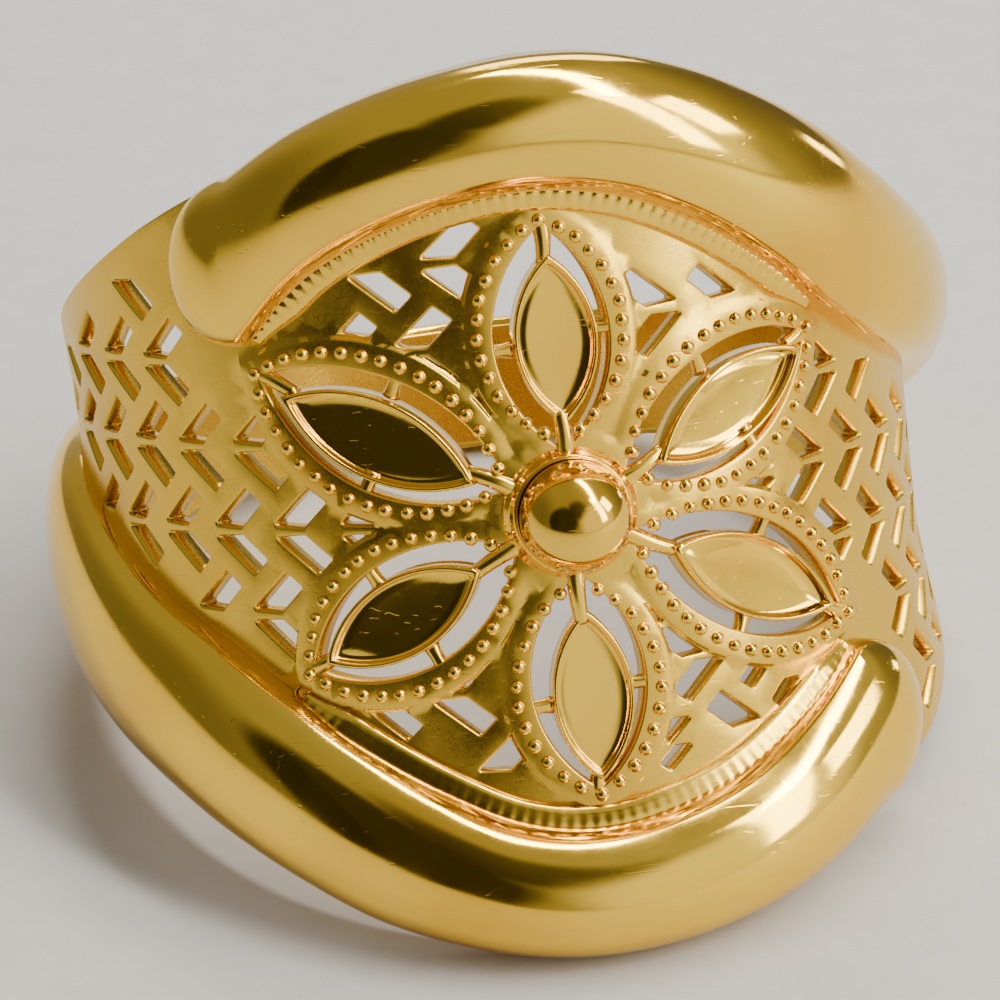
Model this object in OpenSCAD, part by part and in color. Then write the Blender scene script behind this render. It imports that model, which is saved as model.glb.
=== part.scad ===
// Wide gold finger ring: a half-round shank that parts into two crescents, which
// pass each other over a pierced herringbone sheet with a six-petal flower and a
// ball in its middle. The sheet, its petals and the collar are one solid, and the
// crescents lie over it with only a hair's breadth where the solder would be.
// Units are millimetres. The finger axis is built along Z with the flower at
// the front, -Y, and the whole ring is then laid down as it rests by itself.

/* [Band] */
// Radius of the finger hole
finger_r = 8.9; // [8.7:0.1:9.1]
// Thickness of the pierced sheet
sheet_t = 0.5; // [0.4:0.05:0.6]

/* [Herringbone] */
// Distance between two chevrons along a row
pitch_u = 1.6; // [1.5:0.05:1.8]
// Distance between two rows of chevrons
pitch_v = 1.84; // [1.75:0.01:2]
// Height of the first row's centre above the middle of the ring
row_z = 0.14; // [0:0.02:0.3]
// Sheet left bare between the openings and the edge of the band
margin = 0.7; // [0.5:0.05:1]

/* [Crescents] */
// Gap left for the solder between the sheet and the crescents
joint_gap = 0.02; // [0.02:0.01:0.05]
// How far the sheet stays inside the crescents' outer edges
inset = 0.12; // [0.05:0.01:0.3]
// Fullness of the domed section, 1 for an ellipse and less for a squarer one
fullness = 0.85; // [0.7:0.05:1]

/* [Flower] */
// Height of the flower's centre above the middle of the ring
flower_z = 0.12; // [0:0.02:0.2]
// Half width of the opening in each petal
open_w = 1.22; // [1.15:0.01:1.3]
// Half width of the raised border round each petal
border_w = 1.85; // [1.75:0.05:1.95]
// Height of the border above the sheet
border_h = 0.1; // [0.05:0.05:0.15]
// Thickness of a petal's plate
plate_t = 0.35; // [0.3:0.05:0.4]
// Width of the rim round a petal's plate
rim_w = 0.12; // [0.1:0.01:0.15]
// Height of that rim over the plate
rim_h = 0.25; // [0.15:0.05:0.3]

/* [Centre ball] */
// Radius of the ball
ball_r = 1.08; // [1:0.02:1.14]
// Radius of the collar that holds it
collar_r = 1.27; // [1.24:0.01:1.4]
// Height of the ball's centre over the sheet
ball_h = 0.8; // [0.7:0.05:0.9]
// Gap between the ball and its seat
seat_gap = 0.02; // [0.01:0.01:0.04]

/* [Hidden] */
$fn = 96;
gold = [0.86, 0.64, 0.22];
sheet_r = finger_r + sheet_t;

// How the ring lies: turned about X, then about Y, then moved so that it
// stands on z = 0 with the middle of its outline on the origin.
lean_x = -22.933;
lean_y = -1.012;
rest_at = [-0.020, 1.788, 5.170];

// The crescents, from the rounded end over the front to the back of the shank.
// Columns: angle round the ring, lower edge, upper edge, height over the sheet.
UPPER = [
  [ -40, 4.20, 7.80, 1.00],
  [ -30, 5.60, 8.70, 1.20],
  [ -20, 6.40, 9.30, 1.30],
  [ -10, 6.85, 9.65, 1.30],
  [   0, 6.95, 9.80, 1.30],
  [  10, 6.60, 9.65, 1.30],
  [  20, 5.80, 9.15, 1.30],
  [  30, 4.70, 8.40, 1.25],
  [  40, 3.45, 7.50, 1.20],
  [  50, 2.50, 6.45, 1.20],
  [  60, 1.80, 5.50, 1.20],
  [  70, 1.30, 4.80, 1.15],
  [  80, 0.80, 4.20, 1.10],
  [  90, 0.15, 3.60, 1.05],
  [ 105, -0.80, 2.75, 0.95],
  [ 120, -1.40, 2.05, 0.85],
  [ 140, -1.55, 1.65, 0.75],
  [ 180, -1.55, 1.55, 0.70]
];
// The lower one is given as if it were turned half round about the front, so
// that its columns read like those above.
LOWER = [
  [ -40, 4.10, 7.85, 1.15],
  [ -30, 5.10, 8.60, 1.25],
  [ -20, 5.95, 9.10, 1.30],
  [ -10, 6.45, 9.40, 1.30],
  [   0, 6.65, 9.50, 1.30],
  [  10, 6.35, 9.35, 1.30],
  [  20, 5.50, 8.95, 1.30],
  [  30, 4.45, 8.35, 1.25],
  [  40, 3.30, 7.50, 1.20],
  [  50, 2.25, 6.60, 1.20],
  [  60, 1.45, 5.70, 1.15],
  [  70, 0.55, 4.95, 1.10],
  [  80, -0.35, 4.25, 1.05],
  [  90, -1.10, 3.60, 1.00],
  [ 105, -1.45, 2.75, 0.92],
  [ 120, -1.55, 2.10, 0.85],
  [ 140, -1.55, 1.65, 0.75],
  [ 180, -1.55, 1.55, 0.70]
];
// Edge of the sheet beyond a crescent's rounded end.
// Columns: angle, upper edge on the left, lower edge on the right half-turned.
TAPER = [
  [-180, 1.45, 1.45],
  [-140, 1.50, 1.50],
  [-125, 1.95, 2.00],
  [-110, 2.85, 3.00],
  [ -93, 4.15, 4.35],
  [ -84, 4.75, 5.00],
  [ -74, 5.45, 5.75],
  [ -65, 6.10, 6.40],
  [ -55, 6.85, 7.00],
  [ -45, 7.50, 7.60],
  [ -38, 7.80, 7.85]
];
cap_up = 10.5; // length of the upper crescent's rounded end, in degrees
cap_lo = 13;   // and of the lower one's
sec_n = 12;    // steps across the domed section
step_a = 5;    // degrees between sections

// Petals. Columns: direction clockwise from straight up, near and far end of
// the plate, tip of the border, half width of the plate.
PETALS = [
  [  0.0, 1.85, 5.50, 6.45, 0.90],
  [ 65.0, 2.05, 6.40, 7.10, 0.86],
  [117.5, 2.30, 6.90, 7.80, 0.88],
  [180.0, 2.10, 5.90, 6.35, 0.88],
  [243.0, 2.20, 6.25, 7.00, 0.86],
  [298.0, 2.05, 6.60, 7.60, 0.88]
];
open_in = 1.35; // where each petal's opening starts, from the flower's centre
stem_w = 0.2;   // width of the stems that run on from the plate's points
tab_w = 0.3;    // width of the two tabs that hold a plate at its middle

// One opening of the herringbone, the upper stroke of a chevron, about its centre.
STROKE = [[-0.78, -0.34], [-0.02, -0.38], [0.58, 0.16], [0.20, 0.49]];

// Openings right of the flower's middle, where the rows are out of step.
// Columns: u, v, 1 for an upper stroke and 0 for a lower one, size.
RIGHT = [
  [2.11,  4.56, 1, 1.00],
  [3.70,  4.45, 1, 0.90],
  [2.21,  3.61, 0, 1.00],
  [2.10, -3.06, 1, 0.90],
  [2.39, -3.90, 0, 1.00],
  [3.94, -4.01, 0, 0.85],
  [3.15, -4.77, 1, 1.00],
  [4.61, -4.65, 0, 0.65],
  [1.75, -4.91, 0, 0.60],
  [1.72, -5.50, 0, 0.60]
];

// ---- helpers ----
function row_of(t, rows, i = 0) =
  i >= len(rows) - 2 || t < rows[i + 1][0] ? i : row_of(t, rows, i + 1);
function slope(rows, i, c) =
  i == 0 ? (rows[1][c] - rows[0][c]) / (rows[1][0] - rows[0][0]) :
  i == len(rows) - 1 ? 0 :
  (rows[i + 1][c] - rows[i - 1][c]) / (rows[i + 1][0] - rows[i - 1][0]);
// smooth curve through a table's rows, for the column c at t
function smooth(t, rows, c) =
  let (i = row_of(t, rows), a = rows[i], b = rows[i + 1],
       w = b[0] - a[0], k = (t - a[0]) / w,
       ma = slope(rows, i, c) * w, mb = slope(rows, i + 1, c) * w)
  a[c] * (1 + 2 * k) * (1 - k) * (1 - k) + ma * k * (1 - k) * (1 - k)
  + b[c] * k * k * (3 - 2 * k) + mb * k * k * (k - 1);
function at(phi, r, z) = [r * sin(phi), -r * cos(phi), z];

// ---- crescents ----
// rounded end: its sections close up like the end of a sausage
cap_n = 6;
function stations(rows, cap) = concat(
  [for (i = [1 : cap_n]) rows[0][0] - cap * cos(90 * i / cap_n)],
  [for (t = [rows[0][0] + step_a : step_a : 180 - step_a]) t]);
function swell(t, rows, cap) = t >= rows[0][0] ? 1 :
  sqrt(max(0, 1 - pow((rows[0][0] - t) / cap, 2)));
function section(t, rows, cap) =
  let (q = max(t, rows[0][0]), w = swell(t, rows, cap),
       lo = smooth(q, rows, 1), hi = smooth(q, rows, 2), h = smooth(q, rows, 3) * w,
       mid = (lo + hi) / 2 + (t - q) * 0.02, hw = (hi - lo) / 2 * w,
       foot = (sheet_r + joint_gap) / cos(step_a / 2))
  concat([at(t, foot, mid - hw)],
    [for (j = [0 : sec_n]) let (a = 180 * j / sec_n)
      at(t, foot + 0.08 * w + h * pow(sin(a), fullness), mid - hw * cos(a))],
    [at(t, foot, mid + hw)]);
// a section turned half round about the front, its points still bottom to top
function turned(sec) = [for (j = [len(sec) - 1 : -1 : 0]) [-sec[j][0], sec[j][1], -sec[j][2]]];
// one half-round strip: from the upper crescent's rounded end over the front and
// round the back of the shank to the lower crescent's rounded end
module crescents() {
  up = stations(UPPER, cap_up);
  lo = stations(LOWER, cap_lo);
  rings = concat([for (t = up) section(t, UPPER, cap_up)],
    [section(180, UPPER, cap_up)],
    [for (i = [len(lo) - 1 : -1 : 0]) turned(section(lo[i], LOWER, cap_lo))]);
  n = sec_n + 3;
  m = len(rings);
  polyhedron(
    points = [for (r = rings) each r],
    faces = concat(
      [[for (j = [n - 1 : -1 : 0]) j]],
      [[for (j = [0 : n - 1]) (m - 1) * n + j]],
      [for (i = [0 : m - 2], j = [0 : n - 1]) [i * n + j, i * n + (j + 1) % n, (i + 1) * n + j]],
      [for (i = [0 : m - 2], j = [0 : n - 1])
        [i * n + (j + 1) % n, (i + 1) * n + (j + 1) % n, (i + 1) * n + j]]));
}

// ---- pierced band ----
// upper edge of the sheet, which ends inside the upper crescent's outer edge
function top_edge(phi) = phi < -38 ? smooth(phi, TAPER, 1) : smooth(phi, UPPER, 2) - inset;
function bottom_edge(phi) = phi > 38 ? -smooth(-phi, TAPER, 2) : -smooth(-phi, LOWER, 2) + inset;
module outline() {
  rows = [for (phi = [-180 : step_a : 175])
    [at(phi, sheet_r - 2, bottom_edge(phi)), at(phi, sheet_r + 2, bottom_edge(phi)),
     at(phi, sheet_r + 2, top_edge(phi)), at(phi, sheet_r - 2, top_edge(phi))]];
  m = len(rows);
  polyhedron(
    points = [for (r = rows) each r],
    faces = concat(
      [for (i = [0 : m - 1], j = [0 : 3]) [i * 4 + j, i * 4 + (j + 1) % 4, ((i + 1) % m) * 4 + j]],
      [for (i = [0 : m - 1], j = [0 : 3])
        [i * 4 + (j + 1) % 4, ((i + 1) % m) * 4 + (j + 1) % 4, ((i + 1) % m) * 4 + j]]));
}
module shell(r0, r1) {
  difference() {
    translate([0, 0, -12]) cylinder(r = r1, h = 24);
    translate([0, 0, -13]) cylinder(r = r0, h = 26);
  }
}
// puts its children on the sheet, their Z outwards, u round the ring and v up
module on_sheet(u, v) {
  rotate([0, 0, u / sheet_r * 180 / PI]) translate([0, -sheet_r, v]) rotate([90, 0, 0]) children();
}
// lower and upper limit of the openings at u, clear of the crescents
function hole_top(phi) = phi < -52 ? top_edge(phi) :
  phi < 180 ? smooth(max(phi, -40), UPPER, 1) - (phi < -40 ? 0.4 : 0) : 0;
function hole_bottom(phi) = phi > 52 ? bottom_edge(phi) :
  -smooth(max(-phi, -40), LOWER, 1) + (phi > 40 ? 0.4 : 0);
function open_here(u, v) = let (phi = u / sheet_r * 180 / PI)
  v < hole_top(phi) - margin && v > hole_bottom(phi) + margin && abs(phi) < 100
  && !(u > 0 && u < 5.2 && abs(v) > 2.4);
module stroke(u, v, up, size = 1) {
  on_sheet(u, v) translate([0, 0, -1.5]) linear_extrude(3)
    polygon([for (p = STROKE) size * [u < 0 ? p[0] : -p[0], up ? p[1] : -p[1]]]);
}
module herringbone() {
  for (m = [-4 : 4], k = [0 : 9], side = [-1, 1]) {
    u = side * (1.0 + pitch_u * k + (abs(m) % 2) * pitch_u / 2);
    v = row_z + pitch_v * m;
    if (open_here(u, v + pitch_v / 4)) stroke(u, v + pitch_v / 4, true);
    if (open_here(u, v - pitch_v / 4)) stroke(u, v - pitch_v / 4, false);
  }
  for (o = RIGHT) stroke(o[0], o[1], o[2] == 1, o[3]);
}

// ---- flower ----
module lens(hw, half) {
  rho = (half * half + hw * hw) / (2 * hw);
  intersection() {
    translate([rho - hw, 0]) circle(rho);
    translate([hw - rho, 0]) circle(rho);
  }
}
// puts its children at s along a petal, their Y pointing along it
module along(petal, s) {
  on_sheet(s * sin(petal[0]), flower_z + s * cos(petal[0])) rotate([0, 0, -petal[0]]) children();
}
module border(p) {
  mid = (1.1 + p[3] + 0.2) / 2;
  intersection() {
    along(p, mid) translate([0, 0, -1.5]) linear_extrude(3) lens(border_w, (p[3] + 0.2 - 1.1) / 2);
    shell(finger_r + 0.02, sheet_r + border_h);
  }
}
module opening(p) {
  far = p[3] - 0.35;
  along(p, (open_in + far) / 2) translate([0, 0, -1.5]) linear_extrude(3)
    lens(open_w, (far - open_in) / 2);
}
module tray(p) {
  mid = (p[1] + p[2]) / 2;
  half = (p[2] - p[1]) / 2;
  along(p, mid) {
    translate([0, 0, -0.1 - plate_t]) linear_extrude(plate_t) lens(p[4], half);
    translate([0, 0, -0.1 - plate_t]) linear_extrude(plate_t + rim_h) difference() {
      lens(p[4], half);
      lens(p[4] - rim_w, half - 2 * rim_w);
    }
    // stems along the petal and tabs across it
    translate([-stem_w / 2, 1.1 - mid, -0.6]) cube([stem_w, p[3] - 0.9, 0.5]);
    for (side = [-1, 1])
      translate([side * (open_w + p[4]) / 2 - 0.35, -tab_w / 2, -0.1 - plate_t])
        cube([0.7, tab_w, plate_t]);
  }
}

// ---- collar and ball ----
module collar() {
  on_sheet(0, flower_z) translate([0, 0, -0.4]) cylinder(r = collar_r, h = 0.85);
}
module ball(r) {
  on_sheet(0, flower_z) translate([0, 0, ball_h]) sphere(r);
}

module sheet() {
  intersection() {
    shell(finger_r, sheet_r);
    outline();
  }
}

module band() {
  difference() {
    union() {
      difference() {
        union() {
          difference() {
            sheet();
            herringbone();
          }
          for (p = PETALS) border(p);
        }
        for (p = PETALS) opening(p);
      }
      for (p = PETALS) tray(p);
      collar();
    }
    ball(ball_r + seat_gap);
  }
}

module at_rest() {
  translate(rest_at) rotate([lean_x, lean_y, 0]) children();
}
module pierced_band() color(gold) at_rest() band();
module crescent_shank() color(gold) at_rest() crescents();
module centre_ball() color(gold) at_rest() ball(ball_r);

pierced_band();
crescent_shank();
centre_ball();
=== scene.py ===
import math

import bpy
import numpy as np
from mathutils import Matrix, Vector
from mathutils.geometry import delaunay_2d_cdt


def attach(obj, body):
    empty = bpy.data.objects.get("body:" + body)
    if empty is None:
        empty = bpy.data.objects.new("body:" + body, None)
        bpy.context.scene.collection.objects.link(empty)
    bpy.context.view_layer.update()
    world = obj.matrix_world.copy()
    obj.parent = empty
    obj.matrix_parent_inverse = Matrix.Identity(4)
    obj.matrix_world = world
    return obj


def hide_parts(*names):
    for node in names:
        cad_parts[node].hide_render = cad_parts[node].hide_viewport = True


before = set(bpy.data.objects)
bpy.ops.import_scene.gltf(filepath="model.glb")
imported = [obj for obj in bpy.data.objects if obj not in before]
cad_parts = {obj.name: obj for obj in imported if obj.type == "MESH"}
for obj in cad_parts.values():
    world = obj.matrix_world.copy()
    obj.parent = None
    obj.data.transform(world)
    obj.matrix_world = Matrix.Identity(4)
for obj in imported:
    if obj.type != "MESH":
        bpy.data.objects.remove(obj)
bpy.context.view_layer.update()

# ---------------------------------------------------------------------------
# Frame of the ring. All shapes are worked out in millimetres with the finger
# axis along Z and the flower at the front, -Y, then laid down as the ring rests.
# ---------------------------------------------------------------------------
LEAN_X, LEAN_Y = -22.933, -1.012
REST_AT = np.array([-0.020, 1.788, 5.170])

FINGER_R, SHEET_R = 8.9, 9.4
FLOWER_Z = 0.12
PITCH_U, PITCH_V, ROW_Z, MARGIN = 1.6, 1.84, 0.14, 0.7


def rotation(lx, ly):
    a, b = math.radians(lx), math.radians(ly)
    rx = np.array([[1, 0, 0], [0, math.cos(a), -math.sin(a)], [0, math.sin(a), math.cos(a)]])
    ry = np.array([[math.cos(b), 0, math.sin(b)], [0, 1, 0], [-math.sin(b), 0, math.cos(b)]])
    return ry @ rx


ROT = rotation(LEAN_X, LEAN_Y)


def place(p):
    return (np.asarray(p, float) @ ROT.T + REST_AT) / 1000.0


def turn(d):
    return np.asarray(d, float) @ ROT.T


# ---------------------------------------------------------------------------
# Camera: the photograph's view of the ring
# ---------------------------------------------------------------------------
CAM_AZ, CAM_EL, CAM_ROLL, CAM_D, CAM_S = -8.5, 10.8, 6.4, 110.0, 43.6
CAM_X, CAM_Y = 0.05, 1.22

az, el, roll = (math.radians(x) for x in (CAM_AZ, CAM_EL, CAM_ROLL))
back = np.array([math.sin(az) * math.cos(el), -math.cos(az) * math.cos(el), math.sin(el)])
right = np.array([math.cos(az), math.sin(az), 0.0])
up = np.cross(back, right)
eye = back * CAM_D - right * CAM_X - up * CAM_Y
im_right = right * math.cos(roll) - up * math.sin(roll)
im_up = right * math.sin(roll) + up * math.cos(roll)

cam_data = bpy.data.cameras.new("camera")
cam_data.sensor_width = 36.0
cam_data.lens = CAM_S * CAM_D / 1000.0 * 36.0
cam_data.clip_start, cam_data.clip_end = 0.005, 5.0
cam = bpy.data.objects.new("camera", cam_data)
bpy.context.scene.collection.objects.link(cam)
m3 = Matrix([list(c) for c in zip(turn(im_right), turn(im_up), turn(back))])
cam.matrix_world = Matrix.Translation(Vector(place(eye))) @ m3.to_4x4()
bpy.context.scene.camera = cam

# ---------------------------------------------------------------------------
# Tables of the ring's shape
# ---------------------------------------------------------------------------
# crescents: angle round the ring, lower edge, upper edge, height over the sheet
UPPER = np.array([
    [-40, 4.20, 7.80, 1.00], [-30, 5.60, 8.70, 1.20], [-20, 6.40, 9.30, 1.30],
    [-10, 6.85, 9.65, 1.30], [0, 6.95, 9.80, 1.30], [10, 6.60, 9.65, 1.30],
    [20, 5.80, 9.15, 1.30], [30, 4.70, 8.40, 1.25], [40, 3.45, 7.50, 1.20],
    [50, 2.50, 6.45, 1.20], [60, 1.80, 5.50, 1.20], [70, 1.30, 4.80, 1.15],
    [80, 0.80, 4.20, 1.10], [90, 0.15, 3.60, 1.05], [105, -0.80, 2.75, 0.95],
    [120, -1.40, 2.05, 0.85], [140, -1.55, 1.65, 0.75], [180, -1.55, 1.55, 0.70]])
LOWER = np.array([
    [-40, 4.10, 7.85, 1.15], [-30, 5.10, 8.60, 1.25], [-20, 5.95, 9.10, 1.30],
    [-10, 6.45, 9.40, 1.30], [0, 6.65, 9.50, 1.30], [10, 6.35, 9.35, 1.30],
    [20, 5.50, 8.95, 1.30], [30, 4.45, 8.35, 1.25], [40, 3.30, 7.50, 1.20],
    [50, 2.25, 6.60, 1.20], [60, 1.45, 5.70, 1.15], [70, 0.55, 4.95, 1.10],
    [80, -0.35, 4.25, 1.05], [90, -1.10, 3.60, 1.00], [105, -1.45, 2.75, 0.92],
    [120, -1.55, 2.10, 0.85], [140, -1.55, 1.65, 0.75], [180, -1.55, 1.55, 0.70]])
TAPER = np.array([
    [-180, 1.43, 1.43], [-140, 1.50, 1.50], [-125, 1.95, 2.00], [-110, 2.85, 3.00],
    [-93, 4.15, 4.35], [-84, 4.75, 5.00], [-74, 5.45, 5.75], [-65, 6.10, 6.40],
    [-55, 6.85, 7.00], [-45, 7.50, 7.60], [-38, 7.80, 7.85]])
CAP_UP, CAP_LO = 10.5, 13.0
INSET = 0.12
# petals: direction clockwise from straight up, near and far end of the plate,
# tip of the border, half width of the plate
PETALS = [
    (0.0, 1.85, 5.50, 6.45, 0.90), (65.0, 2.05, 6.40, 7.10, 0.86),
    (117.5, 2.30, 6.90, 7.80, 0.88), (180.0, 2.10, 5.90, 6.35, 0.88),
    (243.0, 2.20, 6.25, 7.00, 0.86), (298.0, 2.05, 6.60, 7.60, 0.88)]
OPEN_W, BORDER_W, OPEN_IN = 1.22, 1.85, 1.35
STROKE = np.array([[-0.78, -0.34], [-0.02, -0.38], [0.58, 0.16], [0.20, 0.49]])
# openings right of the flower's middle: u, v, upper stroke or not, size
RIGHT = [
    (2.11, 4.56, 1, 1.00), (3.70, 4.45, 1, 0.90), (2.21, 3.61, 0, 1.00),
    (2.10, -3.06, 1, 0.90), (2.39, -3.90, 0, 1.00), (3.94, -4.01, 0, 0.85),
    (3.15, -4.77, 1, 1.00), (4.61, -4.65, 0, 0.65), (1.75, -4.91, 0, 0.60),
    (1.72, -5.50, 0, 0.60)]
BORDER_H, BALL_R, BALL_H, COLLAR_R = 0.10, 1.19, 0.66, 1.27


def smooth(t, rows, c):
    """Smooth curve through a table's rows, for the column c at t."""
    t = np.asarray(t, float)
    x, y = rows[:, 0], rows[:, c]
    s = np.zeros(len(x))
    s[0] = (y[1] - y[0]) / (x[1] - x[0])
    s[1:-1] = (y[2:] - y[:-2]) / (x[2:] - x[:-2])
    i = np.clip(np.searchsorted(x, t, side="right") - 1, 0, len(x) - 2)
    w = x[i + 1] - x[i]
    k = (t - x[i]) / w
    return (y[i] * (1 + 2 * k) * (1 - k) ** 2 + s[i] * w * k * (1 - k) ** 2
            + y[i + 1] * k * k * (3 - 2 * k) + s[i + 1] * w * k * k * (k - 1))


def top_edge(phi):
    phi = np.asarray(phi, float)
    return np.where(phi < -38, smooth(np.minimum(phi, -38), TAPER, 1),
                    smooth(np.maximum(phi, -38), UPPER, 2) - INSET)


def bottom_edge(phi):
    phi = np.asarray(phi, float)
    return np.where(phi > 38, -smooth(np.minimum(-phi, -38), TAPER, 2),
                    -smooth(np.maximum(-phi, -38), LOWER, 2) + INSET)


def step(x):
    x = np.clip(x, 0, 1)
    return x * x * (3 - 2 * x)


def cyl(u, v, r):
    """Point on the sheet: u along it, v up, r from the finger axis."""
    phi = np.asarray(u, float) / SHEET_R
    return np.stack([r * np.sin(phi), -r * np.cos(phi), np.asarray(v, float) + 0 * phi], -1)


def flare(u, v):
    """How far the sheet stands out beside the crescents' rounded ends."""
    phi = np.degrees(np.asarray(u, float) / SHEET_R)
    lo = step((phi - 38) / 22) * step((118 - phi) / 30) * step((-v - 2.2) / 3.6)
    hi = step((-phi - 44) / 22) * step((125 + phi) / 30) * step((v - 2.0) / 3.0)
    return 0.36 * lo + 0.12 * hi


# ---------------------------------------------------------------------------
# Mesh helpers
# ---------------------------------------------------------------------------
MATS = {}


def make(name, verts, faces, mat, normals=None, slot=None, smooth_shade=True):
    """A finished mesh object from points in the ring's own frame."""
    me = bpy.data.meshes.new(name)
    pts = place(verts)
    # faces look outwards: the volume they enclose comes out positive
    vol = sum(float(np.dot(pts[f[0]], np.cross(pts[f[k]], pts[f[k + 1]])))
              for f in faces for k in range(1, len(f) - 1)) if normals is None else 1
    if vol < 0:
        faces = [tuple(reversed(f)) for f in faces]
    me.from_pydata([tuple(p) for p in pts], [], [tuple(int(i) for i in f) for f in faces])
    me.validate(clean_customdata=False)
    me.update()
    if smooth_shade:
        me.polygons.foreach_set("use_smooth", [True] * len(me.polygons))
    if normals is not None:
        me.normals_split_custom_set_from_vertices([tuple(n) for n in turn(normals)])
    ob = bpy.data.objects.new(name, me)
    bpy.context.scene.collection.objects.link(ob)
    if mat:
        me.materials.append(MATS[mat])
    return ob


def grid_faces(rows, cols, wrap_rows=False, wrap_cols=True):
    f = []
    for i in range(rows if wrap_rows else rows - 1):
        for j in range(cols if wrap_cols else cols - 1):
            a, b = i * cols + j, i * cols + (j + 1) % cols
            c, d = ((i + 1) % rows) * cols + (j + 1) % cols, ((i + 1) % rows) * cols + j
            f.append((a, b, c, d))
    return f


# ---------------------------------------------------------------------------
# Sheet: one continuous pierced band, meshed from a distance field on (u, v)
# ---------------------------------------------------------------------------
def poly_sdf(px, py, poly):
    """Signed distance to a polygon, negative inside."""
    d = np.full(px.shape, 1e9)
    s = np.ones(px.shape)
    n = len(poly)
    for i in range(n):
        ax, ay = poly[i]
        bx, by = poly[i - 1]
        ex, ey = bx - ax, by - ay
        wx, wy = px - ax, py - ay
        t = np.clip((wx * ex + wy * ey) / (ex * ex + ey * ey), 0, 1)
        d = np.minimum(d, (wx - ex * t) ** 2 + (wy - ey * t) ** 2)
        c1, c2, c3 = py >= ay, py < by, ex * wy > ey * wx
        flip = (c1 & c2 & c3) | (~c1 & ~c2 & ~c3)
        s = np.where(flip, -s, s)
    return s * np.sqrt(d)


def inset_poly(poly, k):
    """A convex polygon with each side moved in by k."""
    p = np.asarray(poly, float)
    if np.sum(p[:, 0] * np.roll(p[:, 1], -1) - np.roll(p[:, 0], -1) * p[:, 1]) < 0:
        p = p[::-1]
    n = len(p)
    out = []
    lines = []
    for i in range(n):
        a, b = p[i], p[(i + 1) % n]
        t = (b - a) / np.linalg.norm(b - a)
        nrm = np.array([-t[1], t[0]])
        lines.append((nrm, nrm @ a + k))
    for i in range(n):
        (n0, c0), (n1, c1) = lines[i - 1], lines[i]
        out.append(np.linalg.solve(np.array([n0, n1]), np.array([c0, c1])))
    return np.array(out)


def lens_sdf(px, py, hw, half):
    """Lens of two arcs about its own middle, long along y."""
    rho = (half * half + hw * hw) / (2 * hw)
    d1 = np.hypot(np.abs(px) + (rho - hw), py) - rho
    tip = np.hypot(px, np.abs(py) - half)
    outside = (d1 > 0) & (np.abs(py) > half)
    return np.where(outside, tip, d1)


def to_petal(u, v, petal, s_mid):
    """u, v seen from a petal's own axes: across it and along it from s_mid."""
    a = math.radians(petal[0])
    du, dv = u, v - FLOWER_Z
    return du * math.cos(a) - dv * math.sin(a), du * math.sin(a) + dv * math.cos(a) - s_mid


def border_sdf(u, v):
    d = np.full(np.shape(u), 1e3)
    for p in PETALS:
        mid, half = (1.1 + p[3] + 0.2) / 2, (p[3] + 0.2 - 1.1) / 2
        d = np.minimum(d, lens_sdf(*to_petal(u, v, p, mid), BORDER_W, half))
    return np.minimum(d, np.hypot(u, v - FLOWER_Z) - 1.75)


def open_sdf(u, v):
    d = np.full(np.shape(u), 1e3)
    for p in PETALS:
        far = p[3] - 0.35
        mid, half = (OPEN_IN + far) / 2, (far - OPEN_IN) / 2
        d = np.minimum(d, lens_sdf(*to_petal(u, v, p, mid), OPEN_W, half))
    return d


def hole_top(phi):
    return top_edge(phi) if phi < -52 else smooth(max(phi, -40), UPPER, 1) - (0.4 if phi < -40 else 0)


def hole_bottom(phi):
    return bottom_edge(phi) if phi > 52 else -smooth(max(-phi, -40), LOWER, 1) + (0.4 if phi > 40 else 0)


def strokes():
    out = []
    for m in range(-4, 5):
        for k in range(10):
            for side in (-1, 1):
                u = side * (1.0 + PITCH_U * k + (abs(m) % 2) * PITCH_U / 2)
                for up_ in (1, 0):
                    v = ROW_Z + PITCH_V * m + (0.25 if up_ else -0.25) * PITCH_V
                    phi = math.degrees(u / SHEET_R)
                    if (abs(phi) < 100 and v < hole_top(phi) - MARGIN and v > hole_bottom(phi) + MARGIN
                            and not (0 < u < 5.2 and abs(v) > 2.4)):
                        out.append((u, v, up_, 1.0))
    return out + list(RIGHT)


def stroke_poly(u, v, up_, size):
    return np.array([[u + size * (x if u < 0 else -x), v + size * (y if up_ else -y)] for x, y in STROKE])


HALF_U = math.pi * SHEET_R
STEP_U = 2 * HALF_U / 1180
gu = np.linspace(-HALF_U, HALF_U, 1181)
gv = np.arange(-9.9, 10.2, 0.05)
GU, GV = np.meshgrid(gu, gv, indexing="ij")

HOLES = np.full(GU.shape, 1e3)
for s_ in strokes():
    i0, i1 = np.searchsorted(gu, s_[0] - 1.2), np.searchsorted(gu, s_[0] + 1.2)
    j0, j1 = np.searchsorted(gv, s_[1] - 1.0), np.searchsorted(gv, s_[1] + 1.0)
    core = inset_poly(stroke_poly(*s_), 0.045)
    w_ = np.s_[i0:i1, j0:j1]
    HOLES[w_] = np.minimum(HOLES[w_], poly_sdf(GU[w_], GV[w_], core) - 0.045)
BORDERS = border_sdf(GU, GV)
OPENS = open_sdf(GU, GV)
HOLES = np.maximum(HOLES, -BORDERS + 0.06)
HOLES = np.minimum(HOLES, OPENS)
PHI = np.degrees(gu / SHEET_R)
slope_t = np.gradient(top_edge(PHI), gu)
slope_b = np.gradient(bottom_edge(PHI), gu)
EDGE = np.minimum((top_edge(PHI)[:, None] - GV) / np.sqrt(1 + slope_t[:, None] ** 2),
                  (GV - bottom_edge(PHI)[:, None]) / np.sqrt(1 + slope_b[:, None] ** 2))
SOLID = np.minimum(HOLES, EDGE)


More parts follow.
